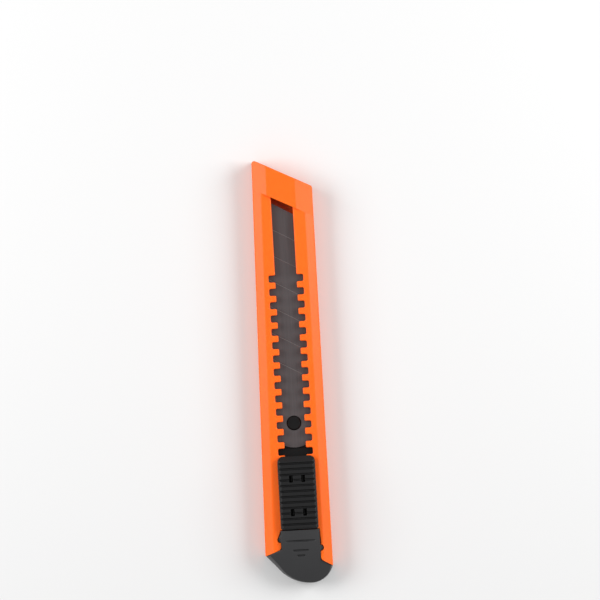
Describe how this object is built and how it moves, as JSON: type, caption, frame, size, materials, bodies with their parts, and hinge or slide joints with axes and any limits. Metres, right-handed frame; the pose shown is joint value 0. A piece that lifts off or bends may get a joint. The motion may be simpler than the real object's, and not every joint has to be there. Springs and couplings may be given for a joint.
{
  "type": "snap-off knife",
  "caption": "Snap-off knife: slim moulded handle with a slanted nose and a notched slot, a scored blade on a click-lock thumb slider, and a rounded push-in end cap.",
  "frame": {"origin": "on the back face, on the centre line of the slot, half way between the nose's corner and the end of the cap", "axes": "+Y along the knife to its nose, +Z out of the face with the slider, +X to the right seen from that face"},
  "size_m": [0.0252, 0.1594, 0.0137],
  "materials": {
    "handle_plastic": "moulded, satin gloss",
    "blade_steel": "dark rolled steel, ground edge",
    "carrier_plastic": "moulded, satin",
    "slider_plastic": "moulded, satin",
    "spring_steel": "bright rolled strip",
    "cap_plastic": "moulded, satin"
  },
  "bodies": {
    "handle": {"handle_body": "handle_plastic"},
    "slider": {"slider_button": "slider_plastic", "blade_carrier": "carrier_plastic", "lock_spring": "spring_steel", "blade": "blade_steel"},
    "cap": {"end_cap": "cap_plastic", "cap_tongue": "cap_plastic"}
  },
  "joints": [
    {"name": "blade_slide", "type": "slide", "parent": "handle", "child": "slider", "axis": [0, 1, 0], "range_m": [0, 0.07], "deforming": ["lock_spring"]},
    {"name": "cap_pull", "type": "slide", "parent": "handle", "child": "cap", "axis": [0, -1, 0], "range_m": [0, 0.02], "deforming": ["cap_tongue"]}
  ]
}
